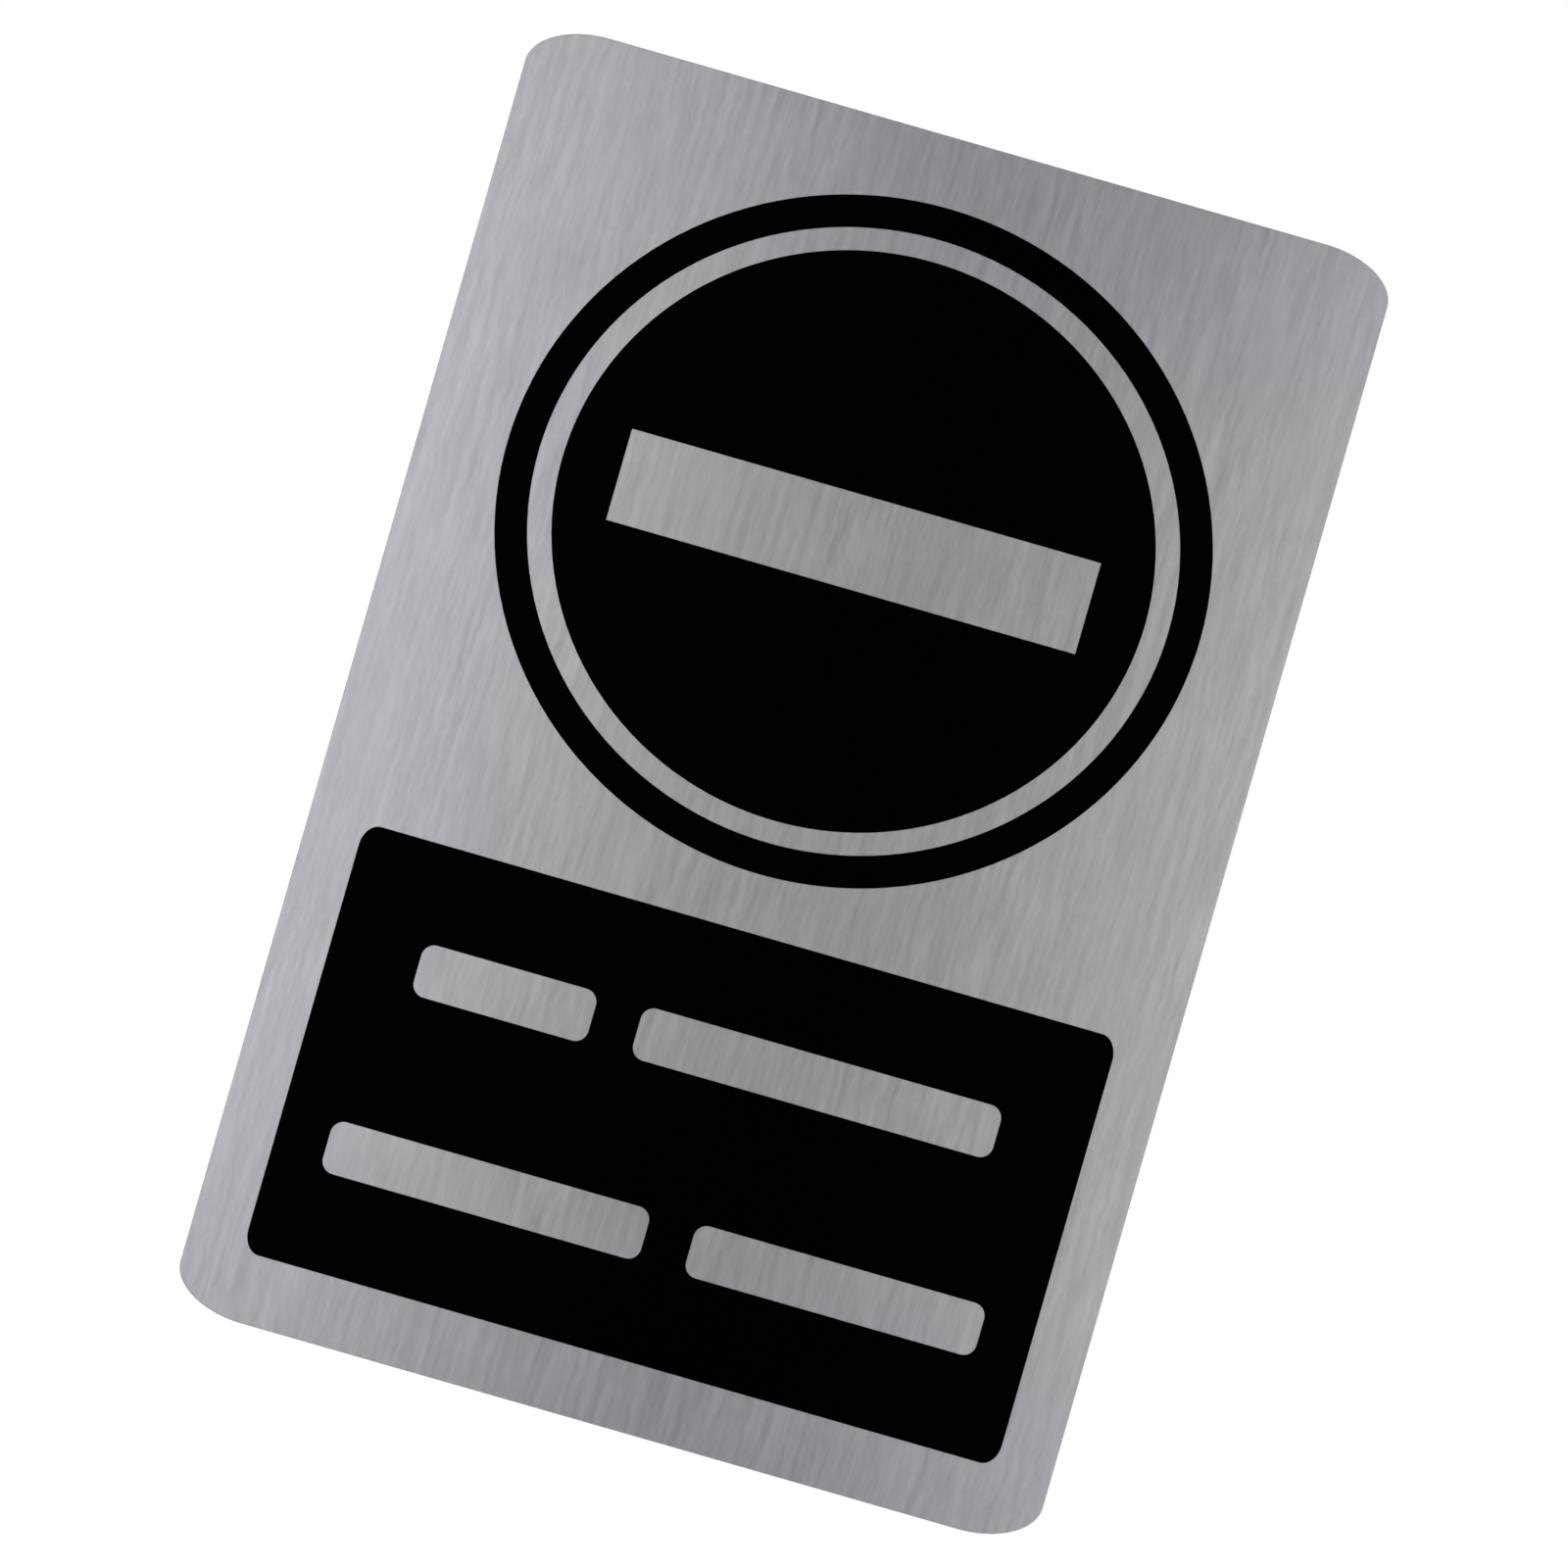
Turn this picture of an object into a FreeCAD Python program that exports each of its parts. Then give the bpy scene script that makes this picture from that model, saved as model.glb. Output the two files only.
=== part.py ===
import FreeCAD, Part
import math
import os
from collections import namedtuple

# No entry sign: one flat sheet of brushed aluminium with black print on its face.
# The print is a ring round a barred disc, over a panel with two rows of plain rounded openings.
# It stands as it hangs. X runs across the sign, Z runs up it and the face looks towards -Y.
# The origin is the centre of the flat back, which is the side that is bonded to a door or wall.
# Sizes are in millimetres. "Across" is along the sign's width and "up" is along its height.

# Sheet
sheet_width = 200.0
sheet_height = 298.0
sheet_thickness = 1.5
sheet_corner_across = 17.0
sheet_corner_up = 9.8
face_edge_round = 0.3
back_edge_round = 0.15

# Print, a thin skin on the face
print_thickness = 0.1
print_end_margin = 15.6

# Ring and disc, which fill the face above the panel
ring_side_margin = 19.65
ring_stroke = 7.3
ring_gap_across = 5.45
ring_gap_up = 5.1

# Bare bar across the disc
bar_height = 21.1
bar_end_margin = 13.2

# Panel below the ring
panel_side_margin = 12.6
panel_height = 99.4
panel_corner_across = 3.8
panel_corner_up = 5.1
panel_to_ring = 13.1

# Openings in the panel: two rows of two, of uneven lengths
opening_height = 12.0
opening_corner = 3.0
opening_gap = 10.4
row_end_margin = 22.0
upper_row_side_margin = 20.2
upper_row_first_length = 40.5
lower_row_side_margin = 11.6
lower_row_first_length = 73.8

QUARTER_TURN = math.pi / 2
ON_LEVEL = 1e-6

Box = namedtuple("Box", "left right bottom top")


def inset(box, across, up):
    """The box inside another one, with a margin at its sides and one at its ends."""
    return Box(box.left + across, box.right - across, box.bottom + up, box.top - up)


def sheet_box():
    """The whole sign, centred on the origin."""
    return Box(-sheet_width / 2, sheet_width / 2, -sheet_height / 2, sheet_height / 2)


def panel_box():
    """The panel, which stands on the lower margin of the print."""
    print_area = inset(sheet_box(), panel_side_margin, print_end_margin)
    return print_area._replace(top=print_area.bottom + panel_height)


def ring_box():
    """The ring's outside, which fills the print area from the panel up."""
    print_area = inset(sheet_box(), ring_side_margin, print_end_margin)
    return print_area._replace(bottom=panel_box().top + panel_to_ring)


def ring_hole_box():
    """The ring's inside, one stroke in from its outside."""
    return inset(ring_box(), ring_stroke, ring_stroke)


def disc_box():
    """The disc, which leaves a band of bare metal inside the ring."""
    return inset(ring_hole_box(), ring_gap_across, ring_gap_up)


def bar_box():
    """The bare bar, level with the disc's centre."""
    disc = disc_box()
    middle = (disc.bottom + disc.top) / 2
    bar = inset(disc, bar_end_margin, 0.0)
    return bar._replace(bottom=middle - bar_height / 2, top=middle + bar_height / 2)


def row_boxes(row_bottom, side_margin, first_length):
    """The two openings of one row. The second one takes the length that the first one leaves."""
    panel = panel_box()
    row = inset(panel, side_margin, 0.0)._replace(bottom=row_bottom, top=row_bottom + opening_height)
    first = row._replace(right=row.left + first_length)
    second = row._replace(left=first.right + opening_gap)
    return [first, second]


def opening_boxes():
    """All openings of the panel, one row near its top and one near its bottom."""
    panel = panel_box()
    upper_bottom = panel.top - row_end_margin - opening_height
    lower_bottom = panel.bottom + row_end_margin
    upper = row_boxes(upper_bottom, upper_row_side_margin, upper_row_first_length)
    lower = row_boxes(lower_bottom, lower_row_side_margin, lower_row_first_length)
    return upper + lower


def ellipse(x, y, across, up):
    """Ellipse about a centre from its half width and half height, whichever is the longer."""
    curve = Part.Ellipse(FreeCAD.Vector(x, y, 0.0), max(across, up), min(across, up))
    if up > across:
        curve.AngleXU = QUARTER_TURN
    return curve


def corner_arc(x, y, across, up, start):
    """A quarter of an ellipse, anticlockwise from the angle start."""
    curve = ellipse(x, y, across, up)
    first = start - curve.AngleXU
    return Part.ArcOfEllipse(curve, first, first + QUARTER_TURN).toShape()


def oval_outline(box):
    """The ellipse that fills a box."""
    half_width = (box.right - box.left) / 2
    half_height = (box.top - box.bottom) / 2
    curve = ellipse(box.left + half_width, box.bottom + half_height, half_width, half_height)
    return Part.Wire([curve.toShape()])


def square_outline(box):
    """A box with sharp corners."""
    corners = [
        FreeCAD.Vector(box.left, box.bottom, 0.0),
        FreeCAD.Vector(box.right, box.bottom, 0.0),
        FreeCAD.Vector(box.right, box.top, 0.0),
        FreeCAD.Vector(box.left, box.top, 0.0),
    ]
    return Part.makePolygon(corners + corners[:1])


def rounded_outline(box, across, up):
    """A box whose corners are quarter ellipses, anticlockwise from its right side."""
    centres = inset(box, across, up)
    arcs = [
        corner_arc(centres.right, centres.top, across, up, 0.0),
        corner_arc(centres.left, centres.top, across, up, QUARTER_TURN),
        corner_arc(centres.left, centres.bottom, across, up, 2 * QUARTER_TURN),
        corner_arc(centres.right, centres.bottom, across, up, 3 * QUARTER_TURN),
    ]
    edges = []
    for arc, next_arc in zip(arcs, arcs[1:] + arcs[:1]):
        edges.append(arc)
        edges.append(Part.makeLine(arc.lastVertex(True).Point, next_arc.firstVertex(True).Point))
    return Part.Wire(edges)


def edges_at(solid, level):
    """The edges that lie wholly at one level of a flat solid."""
    found = []
    for edge in solid.Edges:
        if abs(edge.BoundBox.ZMin - level) < ON_LEVEL and abs(edge.BoundBox.ZMax - level) < ON_LEVEL:
            found.append(edge)
    return found


def make_sheet():
    """The sheet, with the edge of its face rounded a little more than the edge of its back."""
    outline = rounded_outline(sheet_box(), sheet_corner_across, sheet_corner_up)
    sheet = Part.Face(outline).extrude(FreeCAD.Vector(0.0, 0.0, sheet_thickness))
    sheet = sheet.makeFillet(face_edge_round, edges_at(sheet, sheet_thickness))
    return sheet.makeFillet(back_edge_round, edges_at(sheet, 0.0))


def make_print(outline, openings=()):
    """One printed field, standing on the face of the sheet, with openings that show bare metal."""
    field = Part.makeFace([outline, *openings], "Part::FaceMakerBullseye")
    field.translate(FreeCAD.Vector(0.0, 0.0, sheet_thickness))
    return field.extrude(FreeCAD.Vector(0.0, 0.0, print_thickness))


def make_ring():
    """The ring, the same stroke wide all the way round."""
    return make_print(oval_outline(ring_box()), [oval_outline(ring_hole_box())])


def make_disc():
    """The disc, with the bar left bare."""
    return make_print(oval_outline(disc_box()), [square_outline(bar_box())])


def make_panel():
    """The panel, with its corners rounded and its rows of openings."""
    openings = [rounded_outline(box, opening_corner, opening_corner) for box in opening_boxes()]
    return make_print(rounded_outline(panel_box(), panel_corner_across, panel_corner_up), openings)


def stood_up(flat):
    """The shape turned from lying face up to standing with its face towards -Y."""
    return flat.rotate(FreeCAD.Vector(), FreeCAD.Vector(1.0, 0.0, 0.0), 90.0)


parts = {
    "sign_plate": make_sheet(),
    "ring_print": make_ring(),
    "disc_print": make_disc(),
    "panel_print": make_panel(),
}

os.makedirs("parts", exist_ok=True)
for name, flat_shape in parts.items():
    stood_up(flat_shape).exportStep(f"parts/{name}.step")
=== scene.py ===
import math

import bmesh
import bpy
from mathutils import Matrix, Vector


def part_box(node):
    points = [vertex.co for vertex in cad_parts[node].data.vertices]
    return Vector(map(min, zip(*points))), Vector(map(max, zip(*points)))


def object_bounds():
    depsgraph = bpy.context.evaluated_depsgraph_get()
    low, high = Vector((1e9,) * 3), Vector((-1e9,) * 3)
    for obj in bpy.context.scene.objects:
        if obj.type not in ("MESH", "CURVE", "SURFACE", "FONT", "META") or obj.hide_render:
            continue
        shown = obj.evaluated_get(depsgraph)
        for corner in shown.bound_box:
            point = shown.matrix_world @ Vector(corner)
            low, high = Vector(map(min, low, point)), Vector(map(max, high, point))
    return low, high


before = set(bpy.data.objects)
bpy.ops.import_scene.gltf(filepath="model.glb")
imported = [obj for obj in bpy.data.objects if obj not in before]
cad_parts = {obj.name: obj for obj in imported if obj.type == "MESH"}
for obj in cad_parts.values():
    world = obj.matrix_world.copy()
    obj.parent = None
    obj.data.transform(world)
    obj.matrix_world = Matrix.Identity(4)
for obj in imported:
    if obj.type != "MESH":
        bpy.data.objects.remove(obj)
cad_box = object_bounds()

# No entry sign: a sheet of brushed aluminium with black print on its face.
# It stands upright with its face towards -Y, and the middle of its back is the origin.
# Sizes are in metres. Where a size is a pair, it is across the sign first, then up it.
MM = 0.001

# The photograph: a square picture, seen square on, in which the sign leans to the right
PHOTO_SIDE_PIXELS = 1600
SIGN_WIDTH_PIXELS = 915.4
SIGN_LEAN = math.radians(16.015)
CAMERA_DISTANCE = 1.0

# Studio: a white room and a pale floor, which fades into the white between two distances.
# A brightness of 1 is white.
WHITE = (1.0, 1.0, 1.0, 1.0)
ROOM_BRIGHTNESS = 1.0
FLOOR_RADIUS = 3.0
FLOOR_SIDES = 64
FLOOR_FADE_START = 0.35
FLOOR_FADE_END = 1.2
FLOOR_COLOUR = (0.82, 0.82, 0.82, 1.0)
FLOOR_ROUGHNESS = 0.9

# Soft boxes, all aimed at the middle of the sign: place, size and brightness
SOFT_BOXES = {
    "left_box": ((-0.208, -0.364, 0.0015), (0.14, 0.321), 1.85),
    "right_box": ((0.182, -0.329, 0.0015), (0.14, 0.333), 1.15),
    "back_box": ((0.35, 0.70, 0.35), (0.50, 0.50), 3.0),
}

# A dark card close in front of the sign
CARD_PLACE = (0.023, -0.153, 0.0)
CARD_SIZE = (0.121, 0.600)
CARD_BRIGHTNESS = 0.235

# Brushed grain, which runs up the sign, in layers: width and length of the marks, and their share
# of the contrast
FINE_GRAIN = {
    "streaks": (1.9 * MM, 21.0 * MM, 0.50),
    "lines": (0.85 * MM, 8.0 * MM, 0.25),
    "dashes": (1.0 * MM, 2.4 * MM, 0.17),
}
BROAD_GRAIN = {
    "bands": (7.0 * MM, 60.0 * MM, 0.15),
    "clouds": (30.0 * MM, 60.0 * MM, 0.09),
}
GRAIN_CONTRAST = 0.79
GRAIN_DEPTH = 0.02 * MM

# The grain wavers sideways: by up to how much, over stretches of which width and length
SWAYS = {
    "slow": (2.5 * MM, 25.0 * MM, 50.0 * MM),
    "quick": (1.3 * MM, 6.0 * MM, 6.0 * MM),
}

# The fine grain is fainter in some patches and stronger in others
PATCH_SIZE = (22.0 * MM, 45.0 * MM)
PATCH_STRENGTH = (0.75, 1.25)

# The face is grey, with painted tints of the studio light in its reflection: a touch purple towards
# its top, bottom and left, and a touch blue at its left, where the reflection is brightest. Each cast
# grows between two distances from the middle of the sign.
GREY = (0.3735, 0.3735, 0.3845, 1.0)
PAINTED_PURPLE_REFLECTION = (0.3735, 0.3685, 0.3945, 1.0)
PAINTED_BLUE_REFLECTION = (0.3735, 0.3773, 0.3985, 1.0)
PAINTED_PURPLE_AT_ENDS = (104.0 * MM, 120.0 * MM)
PAINTED_PURPLE_AT_LEFT = (56.0 * MM, 70.0 * MM)
PAINTED_BLUE_AT_LEFT = (78.0 * MM, 92.0 * MM)

# The casts at the left reach further in near the sign's top and bottom: by up to how much, and
# between which heights above or below the middle that grows
LEFT_REACH = 24.0 * MM
LEFT_REACH_HEIGHTS = (100.0 * MM, 149.0 * MM)

# The limits of all casts wander: by up to how much, over stretches of which size
CAST_WANDER = 40.0 * MM
CAST_SIZE = (45.0 * MM, 45.0 * MM)

# Gloss of the metal, and how far its roughness and the print's follow the grain
METAL_ROUGHNESS = 0.42
METAL_ANISOTROPY = 0.6
ROUGHNESS_SPREAD = 0.12

# Plain back, with faint rolling lines and stains
BACK_COLOUR = (0.415, 0.418, 0.430)
ROLLING_SIZE = (1.2 * MM, 90.0 * MM)
STAIN_SIZE = (40.0 * MM, 60.0 * MM)
BACK_CONTRAST = 0.20

# Cut edges, with short marks across them
EDGE_COLOUR = (0.42, 0.42, 0.43)
CUT_SIZE = (0.5 * MM, 0.5 * MM)
EDGE_CONTRAST = 0.5

# Black print
PRINT_COLOUR = (0.0002, 0.0002, 0.0002)
PRINT_ROUGHNESS = 0.45
PRINT_SPECULAR = 0.006

# Noise lies about its middle, and mostly between its low and its high value. Its detail is the
# number of finer noises on top of it.
NOISE_LOW = 0.3
NOISE_MIDDLE = 0.5
NOISE_HIGH = 0.7
NOISE_DETAIL = 1.0

# Each noise has a seed of its own, so that no two are alike. Layers count up from their seed.
FINE_SEED = 0
BROAD_SEED = 3
PATCH_SEED = 12
CAST_SEED = 13
SWAY_SEED = 14
ROLLING_SEED = 21
STAIN_SEED = 22
CUT_SEED = 31

# How far a surface looks along Y where the face or the back starts and ends turning into an edge
TURN_START = 0.75
TURN_END = 0.5

# Sockets of the Mix node that hold colours
MIX_FIRST = 6
MIX_SECOND = 7
MIX_RESULT = 2


class Graph:
    """The node tree of one material, with short calls to add and join nodes."""

    def __init__(self, name):
        self.material = bpy.data.materials.new(name)
        self.material.use_nodes = True
        self.tree = self.material.node_tree
        self.shader = self.tree.nodes["Principled BSDF"]
        coordinates = self.add("ShaderNodeTexCoord").outputs
        self.place = coordinates["Object"]
        self.direction = coordinates["Normal"]

    def add(self, kind, inputs=(), **settings):
        """A new node. inputs are (socket, value or output) pairs."""
        node = self.tree.nodes.new(kind)
        for name, value in settings.items():
            setattr(node, name, value)
        for socket, value in inputs:
            self.feed(node.inputs[socket], value)
        return node

    def feed(self, socket, value):
        """Sets a socket to a plain value, or joins an output to it."""
        if isinstance(value, bpy.types.NodeSocket):
            self.tree.links.new(value, socket)
        else:
            socket.default_value = value

    def surface(self, **values):
        """Feeds the shader's sockets. Their names have _ for each space."""
        for name, value in values.items():
            self.feed(self.shader.inputs[name.replace("_", " ")], value)

    def maths(self, operation, first, second=0.0, third=0.0):
        """The result of one calculation."""
        inputs = [(0, first), (1, second), (2, third)]
        return self.add("ShaderNodeMath", inputs, operation=operation).outputs["Value"]

    def along(self, vector, axis):
        """One coordinate of a vector."""
        return self.add("ShaderNodeSeparateXYZ", [("Vector", vector)]).outputs[axis]

    def length(self, vector):
        """The length of a vector."""
        return self.add("ShaderNodeVectorMath", [(0, vector)], operation="LENGTH").outputs["Value"]

    def noise(self, place, size, seed):
        """Soft noise. size is the width of its blots in X and their length in Z."""
        width, length = size
        scale = (1.0 / width, 0.0, 1.0 / length)
        inputs = [("Vector", place), ("Scale", scale), ("Location", (seed, seed, seed))]
        stretched = self.add("ShaderNodeMapping", inputs).outputs["Vector"]
        inputs = [("Vector", stretched), ("Scale", 1.0), ("Detail", NOISE_DETAIL)]
        return self.add("ShaderNodeTexNoise", inputs).outputs["Fac"]

    def spread(self, value, low, high, to_low=0.0, to_high=1.0):
        """A value whose range from low to high is stretched to another range."""
        inputs = [("Value", value), ("From Min", low), ("From Max", high)]
        inputs += [("To Min", to_low), ("To Max", to_high)]
        return self.add("ShaderNodeMapRange", inputs).outputs["Result"]

    def about(self, middle, noise, contrast):
        """A value about a middle one, raised and lowered by noise."""
        return self.maths("MULTIPLY_ADD", noise, contrast, middle - contrast * NOISE_MIDDLE)

    def mixed(self, share, first, second):
        """A colour between two others. A plain colour has four values here."""
        node = self.add("ShaderNodeMix", [("Factor", share)], data_type="RGBA")
        self.feed(node.inputs[MIX_FIRST], first)
        self.feed(node.inputs[MIX_SECOND], second)
        return node.outputs[MIX_RESULT]

    def scaled(self, colour, factor):
        """A colour made lighter or darker. A plain colour has three values here."""
        inputs = [(0, colour), ("Scale", factor)]
        return self.add("ShaderNodeVectorMath", inputs, operation="SCALE").outputs["Vector"]

    def bumped(self, height, depth):
        """The surface's direction with bumps of this depth."""
        return self.add("ShaderNodeBump", [("Height", height), ("Distance", depth)]).outputs["Normal"]


def layered(graph, place, layers, first_seed):
    """Layers of noise about 0, added up by their shares."""
    total = 0.0
    for seed, (width, length, share) in enumerate(layers.values(), first_seed):
        layer = graph.maths("SUBTRACT", graph.noise(place, (width, length), seed), NOISE_MIDDLE)
        total = graph.maths("MULTIPLY_ADD", layer, share, total)
    return total


def swayed(graph):
    """The place on the surface, shifted in X by noise, so that lines drawn there waver."""
    place = graph.place
    for seed, (shift, width, length) in enumerate(SWAYS.values(), SWAY_SEED):
        noise = graph.noise(graph.place, (width, length), seed)
        inputs = [(0, noise), (1, (shift, 0.0, 0.0)), (2, place)]
        place = graph.add("ShaderNodeVectorMath", inputs, operation="MULTIPLY_ADD").outputs["Vector"]
    return place


def brushed_grain(graph):
    """The grain of the brushed face: long soft streaks that waver, about the middle of noise."""
    place = swayed(graph)
    patch = graph.noise(graph.place, PATCH_SIZE, PATCH_SEED)
    strength = graph.spread(patch, NOISE_LOW, NOISE_HIGH, *PATCH_STRENGTH)
    fine = layered(graph, place, FINE_GRAIN, FINE_SEED)
    broad = layered(graph, place, BROAD_GRAIN, BROAD_SEED)
    grain = graph.maths("MULTIPLY_ADD", fine, strength, broad)
    return graph.maths("ADD", grain, NOISE_MIDDLE)


def face_colour(graph, grain):
    """Brushed grey with faint painted tints of the light in its reflection: purple and blue."""
    wander = graph.about(0.0, graph.noise(graph.place, CAST_SIZE, CAST_SEED), CAST_WANDER)
    height = graph.maths("ABSOLUTE", graph.along(graph.place, "Z"))
    reach = graph.spread(height, *LEFT_REACH_HEIGHTS, 0.0, LEFT_REACH)
    leftward = graph.maths("SUBTRACT", wander, graph.along(graph.place, "X"))
    leftward = graph.maths("ADD", leftward, reach)
    purple_reflection_ends = graph.spread(graph.maths("ADD", height, wander), *PAINTED_PURPLE_AT_ENDS)
    purple_reflection_left = graph.spread(leftward, *PAINTED_PURPLE_AT_LEFT)
    # Painted reflection tint: purple towards the top, bottom and left of the face
    colour = graph.mixed(graph.maths("MAXIMUM", purple_reflection_ends, purple_reflection_left), GREY, PAINTED_PURPLE_REFLECTION)
    # Painted reflection tint: blue at the left, where the reflection is brightest
    colour = graph.mixed(graph.spread(leftward, *PAINTED_BLUE_AT_LEFT), colour, PAINTED_BLUE_REFLECTION)
    return graph.scaled(colour, graph.about(1.0, grain, GRAIN_CONTRAST))


def back_colour(graph):
    """Plain grey with faint rolling lines and stains."""
    rolled = graph.about(1.0, graph.noise(graph.place, ROLLING_SIZE, ROLLING_SEED), BACK_CONTRAST)
    stained = graph.about(1.0, graph.noise(graph.place, STAIN_SIZE, STAIN_SEED), BACK_CONTRAST)
    return graph.scaled(BACK_COLOUR, graph.maths("MULTIPLY", rolled, stained))


def edge_colour(graph):
    """Plain grey with short cut marks."""
    cut = graph.noise(graph.place, CUT_SIZE, CUT_SEED)
    return graph.scaled(EDGE_COLOUR, graph.about(1.0, cut, EDGE_CONTRAST))


def brushed_metal():
    """Aluminium sheet, brushed on its face along the sign's height. Its back and edges are plain."""
    graph = Graph("brushed_metal")
    grain = brushed_grain(graph)
    outward = graph.along(graph.direction, "Y")
    back = graph.spread(outward, TURN_END, TURN_START)
    edge = graph.spread(graph.maths("ABSOLUTE", outward), TURN_START, TURN_END)
    flat = graph.mixed(back, face_colour(graph, grain), back_colour(graph))
    graph.surface(
        Base_Color=graph.mixed(edge, flat, edge_colour(graph)),
        Metallic=1.0,
        Roughness=graph.about(METAL_ROUGHNESS, grain, ROUGHNESS_SPREAD),
        Anisotropic=METAL_ANISOTROPY,
        Normal=graph.bumped(grain, GRAIN_DEPTH),
    )
    return graph.material


def black_print():
    """Matt black print, which the grain of the metal below it marks faintly."""
    graph = Graph("black_print")
    grain = brushed_grain(graph)
    graph.surface(
        Base_Color=graph.scaled(PRINT_COLOUR, graph.about(1.0, grain, GRAIN_CONTRAST)),
        Roughness=graph.about(PRINT_ROUGHNESS, grain, ROUGHNESS_SPREAD),
        Specular_IOR_Level=PRINT_SPECULAR,
        Normal=graph.bumped(grain, GRAIN_DEPTH),
    )
    return graph.material


def dress(node, material):
    """Gives a carried-over solid its material."""
    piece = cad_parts[node]
    piece.data.materials.clear()
    piece.data.materials.append(material)


def shown_in_reflections_only(thing):
    """Hides a lamp or card from the camera, from matt surfaces and from what looks through glass."""
    thing.visible_camera = False
    thing.visible_diffuse = False
    thing.visible_transmission = False


def soft_box(name, place, size, brightness):
    """A rectangular lamp aimed at the middle of the sign. Its power follows its area."""
    lamp = bpy.data.lights.new(name, "AREA")
    lamp.shape = "RECTANGLE"
    lamp.size, lamp.size_y = size
    lamp.energy = brightness * math.pi * lamp.size * lamp.size_y
    holder = bpy.data.objects.new(name, lamp)
    holder.location = place
    holder.rotation_euler = (-Vector(place)).to_track_quat("-Z", "Y").to_euler()
    shown_in_reflections_only(holder)
    bpy.context.scene.collection.objects.link(holder)


def make_world():
    """A white room, which lights the sign evenly and is its background."""
    world = bpy.data.worlds.new("studio")
    world.use_nodes = True
    room = world.node_tree.nodes["Background"]
    room.inputs["Color"].default_value = WHITE
    room.inputs["Strength"].default_value = ROOM_BRIGHTNESS
    bpy.context.scene.world = world


def glowing(graph, share, brightness):
    """Turns a share of the material into plain light of this brightness."""
    glow = graph.add("ShaderNodeEmission", [("Color", WHITE), ("Strength", brightness)])
    inputs = [(0, share), (1, graph.shader.outputs["BSDF"]), (2, glow.outputs["Emission"])]
    mix = graph.add("ShaderNodeMixShader", inputs)
    graph.feed(graph.tree.nodes["Material Output"].inputs["Surface"], mix.outputs["Shader"])


def floor_material():
    """Pale floor that keeps the shadow near the sign and fades into the background further out."""
    graph = Graph("studio_floor")
    graph.surface(Base_Color=FLOOR_COLOUR, Roughness=FLOOR_ROUGHNESS, Specular_IOR_Level=0.0)
    fade = graph.spread(graph.length(graph.place), FLOOR_FADE_START, FLOOR_FADE_END)
    path = graph.add("ShaderNodeLightPath").outputs
    seen = graph.maths("MAXIMUM", path["Is Camera Ray"], path["Is Glossy Ray"])
    seen = graph.maths("MAXIMUM", seen, path["Is Transmission Ray"])
    glowing(graph, graph.maths("MULTIPLY", fade, seen), ROOM_BRIGHTNESS)
    return graph.material


def staged(name, form, material):
    """A piece of the studio from a bmesh."""
    mesh = bpy.data.meshes.new(name)
    form.to_mesh(mesh)
    form.free()
    mesh.materials.append(material)
    piece = bpy.data.objects.new(name, mesh)
    bpy.context.scene.collection.objects.link(piece)
    return piece


def make_floor():
    """A round floor under the sign's lower edge."""
    form = bmesh.new()
    bmesh.ops.create_circle(form, cap_ends=True, segments=FLOOR_SIDES, radius=FLOOR_RADIUS)
    bmesh.ops.translate(form, verts=form.verts, vec=(0.0, 0.0, cad_box[0].z))
    floor = staged("studio_floor", form, floor_material())

    # Reflections show the white room in its place, and it doesn't block the room's light from below
    floor.visible_glossy = False
    floor.visible_shadow = False


def make_card():
    """A dark upright card. It shades the metal's middle and shows in its reflections."""
    graph = Graph("studio_card")
    glowing(graph, 1.0, CARD_BRIGHTNESS)
    width, height = CARD_SIZE
    form = bmesh.new()
    corners = []
    for right, up in ((-1, -1), (1, -1), (1, 1), (-1, 1)):
        corners.append(form.verts.new((right * width / 2, 0.0, up * height / 2)))
    form.faces.new(corners)
    card = staged("studio_card", form, graph.material)
    card.location = CARD_PLACE
    shown_in_reflections_only(card)


def make_camera():
    """A camera square on to the face, rolled so that the sign leans as it does in the photograph."""
    low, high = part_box("sign_plate")
    lens = bpy.data.cameras.new("camera")
    lens.type = "ORTHO"
    lens.ortho_scale = (high.x - low.x) * PHOTO_SIDE_PIXELS / SIGN_WIDTH_PIXELS
    camera = bpy.data.objects.new("camera", lens)
    right = Vector((math.cos(SIGN_LEAN), 0.0, math.sin(SIGN_LEAN)))
    up = Vector((-math.sin(SIGN_LEAN), 0.0, math.cos(SIGN_LEAN)))
    turn = Matrix((right, up, right.cross(up))).transposed().to_4x4()
    centre = (low + high) / 2
    camera.matrix_world = Matrix.Translation(centre - Vector((0.0, CAMERA_DISTANCE, 0.0))) @ turn
    bpy.context.scene.collection.objects.link(camera)
    bpy.context.scene.camera = camera


bpy.context.scene.view_settings.view_transform = "Standard"
make_camera()
make_world()
make_floor()
make_card()
for name, (place, size, brightness) in SOFT_BOXES.items():
    soft_box(name, place, size, brightness)

dress("sign_plate", brushed_metal())
print_skin = black_print()
for node in ("ring_print", "disc_print", "panel_print"):
    dress(node, print_skin)
